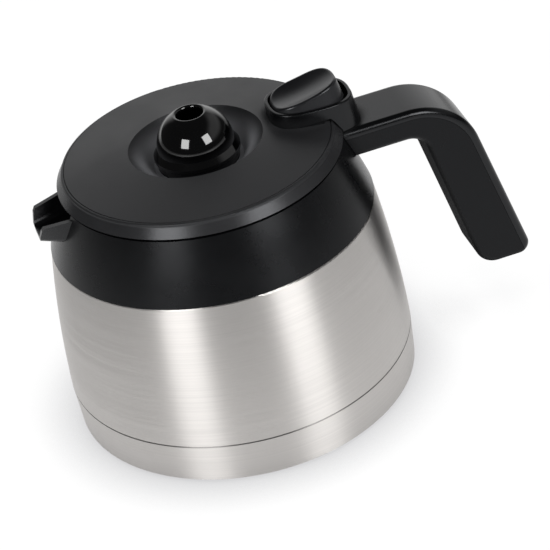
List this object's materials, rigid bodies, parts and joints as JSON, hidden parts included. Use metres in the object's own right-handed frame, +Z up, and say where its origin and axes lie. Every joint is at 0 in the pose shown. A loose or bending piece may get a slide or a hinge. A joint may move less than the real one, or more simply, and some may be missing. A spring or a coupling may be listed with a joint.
{
  "type": "thermal carafe",
  "caption": "Squat double-walled steel carafe with a short spout, an open-ended handle and a flip lid that carries a domed inlet and a thumb lever.",
  "frame": {"origin": "centre of the underside, on the plane the carafe stands on", "axes": "+Z up along the flask's axis, +X towards the handle, -X towards the spout, +Y completes a right-handed frame"},
  "size_m": [0.1995, 0.144, 0.1291],
  "materials": {
    "steel": "brushed round the body",
    "steel_inner": "plain rolled sheet",
    "solder": "dull",
    "getter": "dull sintered",
    "collar_black": "fine satin",
    "handle_black": "satin",
    "handle_cover_black": "satin",
    "lid_black": "matt, fine grain",
    "plug_black": "plain moulded",
    "dome_gloss": "high gloss",
    "housing_black": "satin",
    "lever_black": "satin",
    "seal_rubber": "soft silicone",
    "screw_steel": "plated",
    "pin_steel": "ground",
    "spring_steel": "drawn wire",
    "ball_white": "plain"
  },
  "bodies": {
    "jug": {"outer_shell": "steel", "base_cap": "steel", "vacuum_plate": "steel_inner", "seal_bead": "solder", "inner_flask": "steel", "getter_disc": "getter", "collar": "collar_black", "neck_seal": "seal_rubber", "handle_body": "handle_black", "handle_cover": "handle_cover_black", "handle_screws": "screw_steel", "hinge_pin": "pin_steel"},
    "lid": {"lid_cover": "lid_black", "lid_plug": "plug_black", "lid_seal": "seal_rubber", "lid_screws": "screw_steel", "drip_dome": "dome_gloss", "inlet_funnel": "dome_gloss", "lever_housing": "housing_black", "lever_pin": "pin_steel", "valve_spring": "spring_steel"},
    "lever": {"thumb_lever": "lever_black", "link_pin": "pin_steel"},
    "valve": {"valve_stem": "plug_black", "valve_pads": "seal_rubber"},
    "ball": {"check_ball": "ball_white"}
  },
  "joints": [
    {"name": "lid_hinge", "type": "hinge", "parent": "jug", "child": "lid", "pos_m": [0.064, 0, 0.1104], "axis": [0, 1, 0], "range_deg": [0, 95]},
    {"name": "lever_pivot", "type": "hinge", "parent": "lid", "child": "lever", "pos_m": [0.046, 0, 0.1165], "axis": [0, 1, 0], "range_deg": [0, 10]},
    {"name": "valve_lift", "type": "slide", "parent": "lid", "child": "valve", "axis": [0, 0, 1], "range_m": [0, 0.00183], "stiffness_N_per_m": 20, "springref_m": -0.002, "deforming": ["valve_spring"]},
    {"name": "ball_float", "type": "slide", "parent": "lid", "child": "ball", "axis": [0, 0, 1], "range_m": [0, 0.004]}
  ],
  "couplings": [
    {"joint": "lever_pivot", "follows": "valve_lift", "rad_per_m": 95.2}
  ]
}
